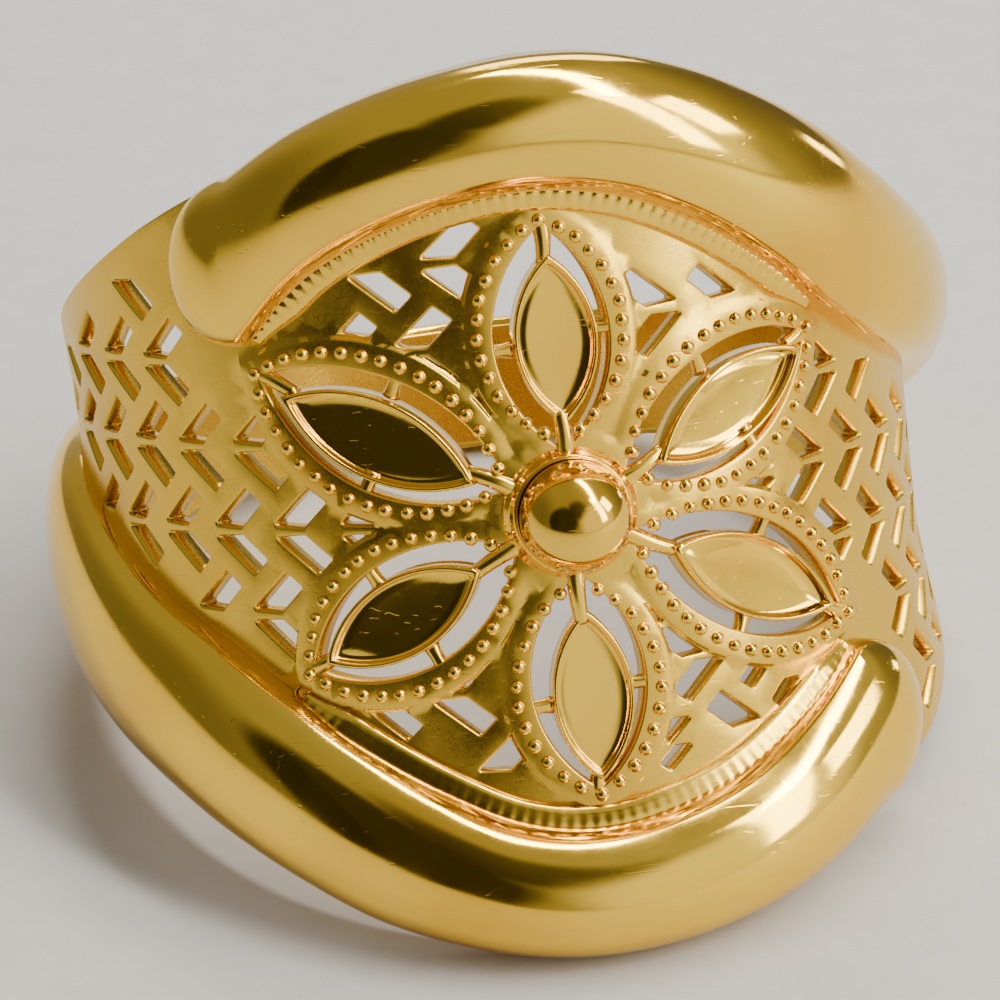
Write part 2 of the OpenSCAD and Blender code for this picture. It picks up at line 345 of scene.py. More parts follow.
def sample(field, u, v):
    """Bilinear value of a field on the grid."""
    x = np.clip((np.asarray(u) + HALF_U) / (gu[1] - gu[0]), 0, len(gu) - 1.001)
    y = np.clip((np.asarray(v) - gv[0]) / (gv[1] - gv[0]), 0, len(gv) - 1.001)
    i, j = x.astype(int), y.astype(int)
    a, b = x - i, y - j
    return (field[i, j] * (1 - a) * (1 - b) + field[i + 1, j] * a * (1 - b)
            + field[i, j + 1] * (1 - a) * b + field[i + 1, j + 1] * a * b)


def contours(field, level):
    """Linked outlines of a field at a level, as lists of (u, v)."""
    f = field - level
    ni, nj = f.shape
    pos = f > 0
    # crossings on edges along u, then along v, each with an id
    hx = pos[:-1, :] != pos[1:, :]
    hy = pos[:, :-1] != pos[:, 1:]
    ix, iy = np.nonzero(hx)
    t = f[ix, iy] / (f[ix, iy] - f[ix + 1, iy])
    px = np.stack([gu[ix] + t * (gu[ix + 1] - gu[ix]), gv[iy]], 1)
    jx, jy = np.nonzero(hy)
    t = f[jx, jy] / (f[jx, jy] - f[jx, jy + 1])
    py = np.stack([gu[jx], gv[jy] + t * (gv[jy + 1] - gv[jy])], 1)
    idx = np.full(hx.shape, -1)
    idx[ix, iy] = np.arange(len(ix))
    idy = np.full(hy.shape, -1)
    idy[jx, jy] = len(ix) + np.arange(len(jx))
    pts = np.concatenate([px, py])
    cells = np.nonzero((pos[:-1, :-1].astype(int) + pos[1:, :-1] + pos[:-1, 1:] + pos[1:, 1:]) % 4)
    nxt = {}
    for i, j in zip(*cells):
        e = [k for k in (idx[i, j], idy[i + 1, j], idx[i, j + 1], idy[i, j]) if k >= 0]
        if len(e) == 2:
            pairs = [(e[0], e[1])]
        else:
            centre = f[i, j] + f[i + 1, j] + f[i, j + 1] + f[i + 1, j + 1]
            same = (centre > 0) == pos[i, j]
            pairs = [(e[0], e[1]), (e[2], e[3])] if same else [(e[0], e[3]), (e[1], e[2])]
        for a, b in pairs:
            nxt.setdefault(a, []).append(b)
            nxt.setdefault(b, []).append(a)
    left = set(nxt)
    lines = []
    ends = [k for k in nxt if len(nxt[k]) == 1]
    for start in ends + sorted(nxt):
        if start not in left:
            continue
        chain, cur = [start], start
        left.discard(start)
        while True:
            go = [k for k in nxt[cur] if k in left]
            if not go:
                break
            cur = go[0]
            left.discard(cur)
            chain.append(cur)
        closed = len(chain) > 2 and chain[0] in nxt[chain[-1]] and len(nxt[chain[0]]) == 2
        lines.append((pts[chain], closed))
    return lines


def thin(pts, closed, tol, longest):
    """Fewer points on an outline: none further than tol from the line that is left."""
    p = np.asarray(pts)
    if closed:
        p = np.vstack([p, p[:1]])
    keep = np.zeros(len(p), bool)
    keep[0] = keep[-1] = True
    stack = [(0, len(p) - 1)]
    if closed and len(p) > 4:
        mid = int(np.argmax(np.hypot(*(p - p[0]).T)))
        keep[mid] = True
        stack = [(0, mid), (mid, len(p) - 1)]
    while stack:
        a, b = stack.pop()
        if b - a < 2:
            continue
        d = p[b] - p[a]
        ln = math.hypot(*d)
        q = p[a + 1:b] - p[a]
        dist = np.abs(q[:, 0] * d[1] - q[:, 1] * d[0]) / ln if ln > 1e-9 else np.hypot(*q.T)
        k = int(np.argmax(dist))
        if dist[k] > tol or ln > longest:
            k = k if dist[k] > tol else (b - a) // 2 - 1
            k = min(max(k, 0), b - a - 2)
            keep[a + 1 + k] = True
            stack += [(a, a + 1 + k), (a + 1 + k, b)]
    out = p[keep]
    return out[:-1] if closed else out


BEVEL = 0.05


def bevel_drop(d, b=BEVEL):
    x = np.clip(1 - np.asarray(d) / b, 0, 1)
    return b * (1 - np.sqrt(np.maximum(0, 1 - x * x))) * 0.9


def sheet_height(u, v):
    """Radius of the sheet's outside at (u, v), edges not yet rounded."""
    b = sample(BORDERS, u, v)
    return SHEET_R + BORDER_H * step(0.5 - b / 0.10) + flare(u, v)


def split_pinches(uv, tri):
    """Give each fan of triangles that meets others only in a point a vertex of its own."""
    tri, uv = tri.copy(), [tuple(p) for p in uv]
    around, count = {}, {}
    for k, t in enumerate(tri):
        for a, b in ((t[0], t[1]), (t[1], t[2]), (t[2], t[0])):
            around.setdefault(int(a), []).append(k)
            e = (min(a, b), max(a, b))
            count[e] = count.get(e, 0) + 1
    edge_of = {}
    for (a, b), c in count.items():
        if c == 1:
            edge_of[a] = edge_of.get(a, 0) + 1
            edge_of[b] = edge_of.get(b, 0) + 1
    for v, c in edge_of.items():
        if c <= 2:
            continue
        left, first = set(around[int(v)]), True
        while left:
            fan, todo = set(), [left.pop()]
            while todo:
                k = todo.pop()
                fan.add(k)
                near = [m for m in left if len((set(tri[k]) & set(tri[m])) - {v}) > 0]
                for m in near:
                    left.discard(m)
                    todo.append(m)
            if not first:
                uv.append(uv[int(v)])
                for k in fan:
                    tri[k][tri[k] == v] = len(uv) - 1
            first = False
    return np.array(uv), tri


def build_sheet():
    verts, edges, level_of = [], [], []

    def add_line(pts, closed, level):
        n0 = len(verts)
        verts.extend([tuple(p) for p in pts])
        level_of.extend([level] * len(pts))
        n = len(pts)
        edges.extend([(n0 + k, n0 + k + 1) for k in range(n - 1)])
        if closed:
            edges.append((n0 + n - 1, n0))

    seam = []
    for level, tol, longest in ((0.0, 0.006, 0.22), (0.022, 0.008, 0.28), (BEVEL, 0.008, 0.30)):
        for pts, closed in contours(SOLID, level):
            if len(pts) < 8 and closed:
                continue
            if not closed:
                # both sides of the seam share the same heights
                for p in (pts[0], pts[-1]):
                    near = [x for x in seam if abs(x - p[1]) < 0.008]
                    if near:
                        p[1] = near[0]
                    else:
                        seam.append(float(p[1]))
            add_line(thin(pts, closed, tol, longest), closed, level)
    masked = np.where(SOLID > BEVEL + 0.02, 1.0, 0.0)
    for level in (-0.05, 0.05):
        for pts, closed in contours(BORDERS, level):
            # stretches that run clear of every opening
            ok = sample(SOLID, pts[:, 0], pts[:, 1]) > BEVEL + 0.03
            run = []
            for p, good in zip(pts, ok):
                if good:
                    run.append(p)
                elif len(run) > 3:
                    add_line(thin(np.array(run), False, 0.008, 0.3), False, None)
                    run = []
                else:
                    run = []
            if len(run) > 3:
                add_line(thin(np.array(run), False, 0.008, 0.3), False, None)
    # points inside the sheet, on an even staggered grid
    for i, u in enumerate(np.arange(-HALF_U + 0.17, HALF_U - 0.1, 0.34)):
        for v in np.arange(-9.8, 9.9, 0.42):
            vv = v + (0.21 if i % 2 else 0)
            if sample(SOLID, u, vv) > BEVEL + 0.10:
                verts.append((u, vv))
                level_of.append(None)
    # the seam at the back, the same on both sides
    vs = sorted(seam)
    lo, hi = float(bottom_edge(180.0)), float(top_edge(-180.0))
    inner = [x for x in np.arange(lo + 0.35, hi - 0.25, 0.4)]
    for side in (-1, 1):
        n0 = len(verts)
        col = sorted(vs + inner)
        for x in col:
            verts.append((side * HALF_U, x))
            level_of.append(None)
        edges.extend([(n0 + k, n0 + k + 1) for k in range(len(col) - 1)])
    vo, eo, fo, _, _, _ = delaunay_2d_cdt([Vector(p) for p in verts], edges, [], 0, 1e-5)
    uv = np.array([(p[0], p[1]) for p in vo])
    tri = np.array([f for f in fo])
    c = uv[tri].mean(1)
    e1, e2 = uv[tri[:, 1]] - uv[tri[:, 0]], uv[tri[:, 2]] - uv[tri[:, 0]]
    area = (e1[:, 0] * e2[:, 1] - e1[:, 1] * e2[:, 0]) / 2
    tri[area < 0] = tri[area < 0][:, ::-1]
    keep = (sample(SOLID, c[:, 0], c[:, 1]) > -0.004) & (np.abs(area) > 1e-7)
    tri = tri[keep]
    used = np.unique(tri)
    remap = np.full(len(uv), -1)
    remap[used] = np.arange(len(used))
    uv, tri = split_pinches(uv[used], remap[tri])
    n = len(uv)
    d = sample(SOLID, uv[:, 0], uv[:, 1])
    drop = bevel_drop(np.maximum(d, 0))
    top_r = sheet_height(uv[:, 0], uv[:, 1]) - drop
    low_r = FINGER_R + flare(uv[:, 0], uv[:, 1]) + drop
    pts = np.concatenate([cyl(uv[:, 0], uv[:, 1], top_r), cyl(uv[:, 0], uv[:, 1], low_r)])
    faces = [tuple(t) for t in tri] + [tuple(t[::-1] + n) for t in tri]
    # walls along the open edges
    seen = {}
    for t in tri:
        for a, b in ((t[0], t[1]), (t[1], t[2]), (t[2], t[0])):
            seen[(a, b)] = seen.get((a, b), 0) + 1
    at_seam = np.abs(np.abs(uv[:, 0]) - HALF_U) < 1e-4
    for (a, b) in seen:
        if (b, a) not in seen and not (at_seam[a] and at_seam[b]):
            faces.append((b, a, a + n, b + n))
    # normals: the field's own slope on the surfaces, so that flat stays flat
    h = 0.02
    def height(u, v):
        return sheet_height(u, v) - bevel_drop(np.maximum(sample(SOLID, u, v), 0))
    fu = (height(uv[:, 0] + h, uv[:, 1]) - height(uv[:, 0] - h, uv[:, 1])) / (2 * h)
    fv = (height(uv[:, 0], uv[:, 1] + h) - height(uv[:, 0], uv[:, 1] - h)) / (2 * h)
    su = (sample(SOLID, uv[:, 0] + h, uv[:, 1]) - sample(SOLID, uv[:, 0] - h, uv[:, 1])) / (2 * h)
    sv = (sample(SOLID, uv[:, 0], uv[:, 1] + h) - sample(SOLID, uv[:, 0], uv[:, 1] - h)) / (2 * h)
    x = np.clip(1 - np.maximum(d, 0) / BEVEL, 0, 1)
    flat = d > BEVEL * 0.98
    # on the rounded edge the normal turns towards the opening
    fu = np.where(flat, fu, -(-su) * np.where(x > 0.97, 1.6, x / np.sqrt(np.maximum(1 - x * x, 0.05))))
    fv = np.where(flat, fv, -(-sv) * np.where(x > 0.97, 1.6, x / np.sqrt(np.maximum(1 - x * x, 0.05))))
    phi = uv[:, 0] / SHEET_R
    er = np.stack([np.sin(phi), -np.cos(phi), 0 * phi], 1)
    eu = np.stack([np.cos(phi), np.sin(phi), 0 * phi], 1)
    ev = np.stack([0 * phi, 0 * phi, 1 + 0 * phi], 1)
    top_n = er - fu[:, None] * eu - fv[:, None] * ev
    gu_ = np.where(flat, 0, fu)
    gv_ = np.where(flat, 0, fv)
    low_n = -er - gu_[:, None] * eu - gv_[:, None] * ev
    nrm = np.concatenate([top_n, low_n])
    nrm /= np.linalg.norm(nrm, axis=1)[:, None]
    # join the seam
    order = {}
    remap = np.arange(2 * n)
    for k in np.nonzero(at_seam)[0]:
        for off in (0, n):
            match = [m for m in order.get(off, []) if abs(uv[m - off, 1] - uv[k, 1]) < 0.003
                     and uv[m - off, 0] * uv[k, 0] < 0]
            if match:
                remap[k + off] = match[0]
            else:
                order.setdefault(off, []).append(k + off)
    faces = [tuple(int(remap[i]) for i in f) for f in faces]
    used = sorted({i for f in faces for i in f})
    new = {old: k for k, old in enumerate(used)}
    faces = [tuple(new[i] for i in f) for f in faces]
    return make("band_sheet", pts[used], faces, "gold_sheet", nrm[used])


# ---------------------------------------------------------------------------
# Crescents: one half-round strip, closed round the back of the shank
# ---------------------------------------------------------------------------
SEC = 44


def sections(rows, cap, turned):
    t_cap = [rows[0, 0] - cap * math.cos(math.pi / 2 * k / 22) for k in range(1, 23)]
    ts = t_cap + list(np.arange(rows[0, 0] + 1.0, 179.6, 1.0))
    out = []
    for t in ts:
        q = max(t, rows[0, 0])
        w = 1.0 if t >= rows[0, 0] else math.sqrt(max(0.0, 1 - ((rows[0, 0] - t) / cap) ** 2))
        lo, hi, h = (float(smooth(q, rows, c)) for c in (1, 2, 3))
        h *= w ** 0.9
        mid, hw = (lo + hi) / 2 + (t - q) * 0.02, (hi - lo) / 2 * w
        a = np.linspace(0, math.pi, SEC)
        r = SHEET_R + 0.08 * w + h * np.sin(a) ** 0.85
        z = mid - hw * np.cos(a)
        ang = math.radians(t)
        # the underside stays inside the sheet's thickness, also where the sheet is flared
        way = -1 if turned else 1
        under = [SHEET_R - 0.36 + 0.9 * float(flare(way * ang * SHEET_R, way * (mid + k * hw)))
                 for k in (-1, -0.6, -0.2, 0.2, 0.6, 1)]
        r = np.concatenate([under[2::-1], r, under[:2:-1]])
        z = np.concatenate([[mid - 0.2 * hw, mid - 0.6 * hw, mid - hw], z, [mid + hw, mid + 0.6 * hw, mid + 0.2 * hw]])
        p = np.stack([r * math.sin(ang), -r * math.cos(ang), z], 1)
        if turned:
            p = (p * np.array([-1, 1, -1]))[::-1]
        out.append(p)
    return out


def build_crescents():
    up_, lo_ = sections(UPPER, CAP_UP, False), sections(LOWER, CAP_LO, True)
    rings = up_ + lo_[::-1]
    cols = SEC + 6
    pts = np.concatenate(rings)
    faces = [f[::-1] for f in grid_faces(len(rings), cols)]
    n = len(pts)
    ends = np.stack([rings[0].mean(0), rings[-1].mean(0)])
    # the strips' very ends close on a point
    def nose(rows, cap, turned):
        t = rows[0, 0] - cap
        mid = (rows[0, 1] + rows[0, 2]) / 2 - cap * 0.02
        a = math.radians(t)
        r = SHEET_R - 0.1
        p = np.array([r * math.sin(a), -r * math.cos(a), mid])
        return p * np.array([-1, 1, -1]) if turned else p
    pts = np.concatenate([pts, [nose(UPPER, CAP_UP, False), nose(LOWER, CAP_LO, True)]])
    # where the ring rests, the metal is flat on the floor
    pts = pts - np.minimum(place(pts)[:, 2] * 1000.0, 0)[:, None] * ROT[2]
    last = (len(rings) - 1) * cols
    faces += [(j, (j + 1) % cols, n) for j in range(cols)]
    faces += [(last + (j + 1) % cols, last + j, n + 1) for j in range(cols)]
    return make("crescents", pts, faces, "gold_polished")


# ---------------------------------------------------------------------------
# Flower: plates in their rims, stems, tabs, beads, collar and ball
# ---------------------------------------------------------------------------
def petal_axes(p, s):
    """Point on the sheet at s along a petal, with its axes: across, along, outwards."""
    a = math.radians(p[0])
    u, v = s * math.sin(a), FLOWER_Z + s * math.cos(a)
    phi = u / SHEET_R
    o = np.array([SHEET_R * math.sin(phi), -SHEET_R * math.cos(phi), v])
    eu = np.array([math.cos(phi), math.sin(phi), 0])
    er = np.array([math.sin(phi), -math.cos(phi), 0])
    ez = np.array([0, 0, 1.0])
    along = eu * math.sin(a) + ez * math.cos(a)
    across = eu * math.cos(a) - ez * math.sin(a)
    return o, across, along, er


def lens_loop(hw, half, n=26):
    """Outline of a lens: up one side and down the other, 2n points."""
    rho = (half * half + hw * hw) / (2 * hw)
    a0 = math.asin(min(1, half / rho))
    a = np.linspace(-a0, a0, n + 1)
    sidex, sidey = rho * np.cos(a) - (rho - hw), rho * np.sin(a)
    return np.concatenate([np.stack([sidex[:-1], sidey[:-1]], 1),
                           np.stack([-sidex[::-1][:-1], sidey[::-1][:-1]], 1)])


def build_plate(i, p):
    mid, half, hw = (p[1] + p[2]) / 2, (p[2] - p[1]) / 2, p[4]
    o, across, along, er = petal_axes(p, mid)
    o = o + across * PLATE_SHIFT[i]
    tilt = PLATE_TILT[i]
    # rows of the profile: inset from the outline, height; from below round to the middle
    prof = [(0.03, -0.44), (0.0, -0.40), (0.0, 0.04), (0.012, 0.10), (0.045, 0.135),
            (0.085, 0.125), (0.108, 0.08), (0.115, -0.02), (0.125, -0.085), (0.16, -0.105)]
    loops, floors = [], []
    for k, hgt in prof:
        lp = lens_loop(hw - k, half - 1.9 * k)
        loops.append(np.c_[lp, np.full(len(lp), hgt)])
    n = len(loops[0])
    # the plate itself, very slightly dished and leaning a little
    for f in (0.92, 0.72, 0.5, 0.28, 0.1):
        lp = lens_loop(hw - 0.16, half - 0.30) * f
        loops.append(np.c_[lp, -0.105 - 0.02 * (1 - f * f) + tilt[0] * lp[:, 0] + tilt[1] * lp[:, 1]])
    flat = np.concatenate(loops)
    under = lens_loop(hw - 0.03, half - 0.05)
    pts2 = np.concatenate([flat, [[0, 0, -0.125]], [[0, 0, -0.44]]])
    pts = o + pts2[:, :1] * across + pts2[:, 1:2] * along + pts2[:, 2:] * er
    faces = grid_faces(len(loops), n)
    last = (len(loops) - 1) * n
    c, cb = len(flat), len(flat) + 1
    faces += [(last + j, last + (j + 1) % n, c) for j in range(n)]
    faces += [((j + 1) % n, j, cb) for j in range(n)]
    return make("petal_plate_%d" % (i + 1), pts, faces, "gold_plate")


def tube(path, width, height, up_dirs, n=10, power=0.9, closed_ends=True):
    """A small wire along a path, as wide and as high as given at each point."""
    path, up_dirs = np.asarray(path, float), np.asarray(up_dirs, float)
    tan = np.gradient(path, axis=0)
    tan /= np.linalg.norm(tan, axis=1)[:, None]
    side = np.cross(tan, up_dirs)
    side /= np.linalg.norm(side, axis=1)[:, None]
    upv = np.cross(side, tan)
    a = np.linspace(0, 2 * math.pi, n, endpoint=False)
    ca, sa = np.cos(a), np.sin(a)
    cx = np.sign(ca) * np.abs(ca) ** power
    sx = np.sign(sa) * np.abs(sa) ** power
    w, h = np.broadcast_to(width, len(path)), np.broadcast_to(height, len(path))
    rings = path[:, None] + side[:, None] * (cx[None, :, None] * w[:, None, None] / 2) \
        + upv[:, None] * (sx[None, :, None] * h[:, None, None] / 2)
    pts = rings.reshape(-1, 3)
    faces = grid_faces(len(path), n)
    if closed_ends:
        m = len(pts)
        pts = np.concatenate([pts, path[:1], path[-1:]])
        last = (len(path) - 1) * n
        faces += [((j + 1) % n, j, m) for j in range(n)]
        faces += [(last + j, last + (j + 1) % n, m + 1) for j in range(n)]
    return pts, faces


def join(parts):
    pts, faces, n = [], [], 0
    for p, f in parts:
        pts.append(p)
        faces += [tuple(i + n for i in q) for q in f]
        n += len(p)
    return np.concatenate(pts), faces


def surface(u, v, lift):
    """Points over the sheet's outside and the direction straight out."""
    phi = np.asarray(u, float) / SHEET_R
    er = np.stack([np.sin(phi), -np.cos(phi), 0 * phi], -1)
    return cyl(u, v, SHEET_R + np.asarray(lift) + flare(u, v)), er


def build_stems():
    parts = []
    for p in PETALS:
        a = math.radians(p[0])
        runs = [
            # from the collar out to the plate's near point
            (np.linspace(0.95, p[1] + 0.30, 14), lambda k: 0.46 - 0.14 * k, lambda k: 0.34 + 0.06 * np.sin(math.pi * k), 0.10),
            # from the plate's far point to the border's tip
            (np.linspace(p[2] - 0.22, p[3] - 0.05, 10), lambda k: 0.30 + 0.12 * k, lambda k: 0.34 - 0.05 * k, 0.04)]
        for s, wid, hgt, lift in runs:
            k = np.linspace(0, 1, len(s))
            bend = 0.05 * np.sin(math.pi * k)
            u = s * math.sin(a) + bend * math.cos(a)
            v = FLOWER_Z + s * math.cos(a) - bend * math.sin(a)
            path, er = surface(u, v, lift - 0.12 + 0.05 * np.sin(math.pi * k))
            parts.append(tube(path, wid(k), hgt(k), er))
        # two tabs across, from the rim to the border
        mid = (p[1] + p[2]) / 2
        for side in (-1, 1):
            x = np.linspace(side * (p[4] - 0.05), side * (OPEN_W + 0.22), 8)
            s0 = mid + 0.12 * side
            u = s0 * math.sin(a) + x * math.cos(a)
            v = FLOWER_Z + s0 * math.cos(a) - x * math.sin(a)
            k = np.linspace(0, 1, len(x))
            path, er = surface(u, v, -0.17 + 0.10 * k)
            parts.append(tube(path, 0.30 + 0.10 * (2 * k - 1) ** 2, 0.34, er))
    return make("petal_stems", *join(parts), "gold_bead")


def dome(centre, er, radius, rise, seg=14, rows=5):
    """A small round bead standing on the surface."""
    t = np.cross(er, [0, 0, 1.0])
    t /= np.linalg.norm(t)
    b = np.cross(er, t)
    pts, n = [], seg
    for i in range(rows + 1):
        lat = -0.45 + (math.pi / 2 + 0.45) * i / (rows + 1)
        rr, hh = radius * math.cos(lat), rise * math.sin(lat)
        a = np.linspace(0, 2 * math.pi, seg, endpoint=False)
        pts.append(centre + er * hh + rr * (np.cos(a)[:, None] * t + np.sin(a)[:, None] * b))
    pts = np.concatenate(pts + [[centre + er * rise], [centre - er * rise * 0.5]])
    faces = [f[::-1] for f in grid_faces(rows + 1, seg)]
    last, m = rows * seg, (rows + 1) * seg
    faces += [(last + (j + 1) % n, last + j, m) for j in range(n)]
    faces += [(j, (j + 1) % n, m + 1) for j in range(n)]
    return pts, faces


def build_beads():
    """Rows of raised beads along both sides of every petal's border."""
    rng = np.random.default_rng(7)
    parts, taken = [], []
    for p in PETALS:
        mid, half = (1.1 + p[3] + 0.2) / 2, (p[3] + 0.2 - 1.1) / 2
        hw, hl = 1.545, half - 0.42
        rho = (hl * hl + hw * hw) / (2 * hw)
        a0 = math.asin(hl / rho)
        count = int(round(2 * a0 * rho / 0.44))
        a = math.radians(p[0])
        for side in (-1, 1):
            for k in range(count + 1):
                th = -a0 + 2 * a0 * k / count
                x = side * (rho * math.cos(th) - (rho - hw))
                y = rho * math.sin(th) + mid
                u = y * math.sin(a) + x * math.cos(a)
                v = FLOWER_Z + y * math.cos(a) - x * math.sin(a)
                if math.hypot(u, v - FLOWER_Z) < 1.55:
                    continue
                if any((u - q[0]) ** 2 + (v - q[1]) ** 2 < 0.28 ** 2 for q in taken):
                    continue
                taken.append((u, v))
                u += rng.uniform(-0.02, 0.02)
                v += rng.uniform(-0.02, 0.02)
                c, er = surface(u, v, BORDER_H - 0.005)
                parts.append(dome(c, er, 0.150 * rng.uniform(0.92, 1.06), 0.145 * rng.uniform(0.9, 1.1)))
    return make("border_beads", *join(parts), "gold_bead")


def build_ledge():
    """Toothed edge along the inner side of both crescents, inside the flower's field."""
    parts = []
    for rows, turned, a0, a1, deep in ((UPPER, False, -39.0, 39.0, 0.040), (LOWER, True, -40.0, 38.0, 0.008)):
        n = int((a1 - a0) * 8)
        phis = np.linspace(a0, a1, n)
        inner = smooth(phis, rows, 1)
        length = np.concatenate([[0], np.cumsum(np.hypot(np.diff(np.radians(phis)) * SHEET_R, np.diff(inner)))])
        tooth = 0.5 + 0.5 * np.cos(2 * math.pi * length / 0.27)
        slope = np.gradient(inner, np.radians(phis) * SHEET_R)
        nv = 1 / np.sqrt(1 + slope ** 2)
        nu = -slope * nv
        fade = step((phis - a0) / 6) * step((a1 - phis) / 6)
        width = 0.42 * (0.45 + 0.55 * fade)
        prof = np.array([(0.10, -0.10), (0.10, 0.30), (-0.02, 0.31), (-0.25, 0.27), (-0.55, 0.235),
                         (-0.80, 0.19), (-0.95, 0.12), (-1.0, 0.03), (-1.0, -0.10)])
        rings = []
        for f, h in prof:
            bump = deep * (tooth - 0.5) * (1 if h > 0 else 0) * min(1.0, max(0.0, 1.1 + f * 1.6))
            reach = width
            off = f * reach if f < 0 else f
            u = np.radians(phis) * SHEET_R + nu * off
            v = inner + nv * off
            pt, _ = surface(u, v, h * (0.55 + 0.45 * fade) + bump)
            rings.append(pt)
        pts = np.stack(rings, 1).reshape(-1, 3)
        if turned:
            pts = pts * np.array([-1, 1, -1])
        m = len(prof)
        faces = grid_faces(n, m)
        k = len(pts)
        pts = np.concatenate([pts, [pts[:m].mean(0)], [pts[-m:].mean(0)]])
        faces += [((j + 1) % m, j, k) for j in range(m)]
        faces += [((n - 1) * m + j, (n - 1) * m + (j + 1) % m, k + 1) for j in range(m)]
        parts.append((pts, [f[::-1] for f in faces]))
    return make("toothed_edges", *join(parts), "gold_bead")


def lathe(profile, n=72):
    """Round shape about the outward direction at the flower's middle; profile rows are radius, height."""
    o, er = surface(0.0, FLOWER_Z, 0.0)
    x, z = np.array([1.0, 0, 0]), np.array([0, 0, 1.0])
    a = np.linspace(0, 2 * math.pi, n, endpoint=False)
    ring = np.cos(a)[:, None] * x + np.sin(a)[:, None] * z
    pts = np.concatenate([o + r * ring + h * er for r, h in profile])
    return pts, grid_faces(len(profile), n)


def build_ball():
    rows = 40
    low = -0.42
    prof = [(BALL_R * math.sin(math.pi * (k + 0.5) / rows), BALL_H - BALL_R * math.cos(math.pi * (k + 0.5) / rows))
            for k in range(rows)]
    prof = [(r, h if h > low else low - 0.0002 * (1.2 - r)) for r, h in prof]
    pts, faces = lathe(prof)
    n, o = 72, surface(0.0, FLOWER_Z, 0.0)
    m = len(pts)
    pts = np.concatenate([pts, [o[0] + o[1] * (low - 0.0003)], [o[0] + o[1] * (BALL_H + BALL_R)]])
    last = (rows - 1) * n
    faces += [((j + 1) % n, j, m) for j in range(n)]
    faces += [(last + j, last + (j + 1) % n, m + 1) for j in range(n)]
    return make("centre_ball_polished", pts, faces, "gold_polished")


def build_collar():
    prof = [(0.80, -0.38), (1.40, -0.38), (1.47, -0.22), (1.47, -0.02), (1.42, 0.07), (1.36, 0.13), (1.31, 0.21),
            (1.275, 0.31), (1.245, 0.36), (1.205, 0.37), (1.165, 0.33), (1.08, 0.12), (0.80, -0.20)]
    pts, faces = lathe(prof)
    n = 72
    last = (len(prof) - 1) * n
    faces += [(last + j, last + (j + 1) % n, (j + 1) % n, j) for j in range(n)]
    return make("ball_collar", pts, faces, "gold_polished")


# ---------------------------------------------------------------------------
# Gold finishes
# ---------------------------------------------------------------------------
GOLD = (0.92, 0.59, 0.06)


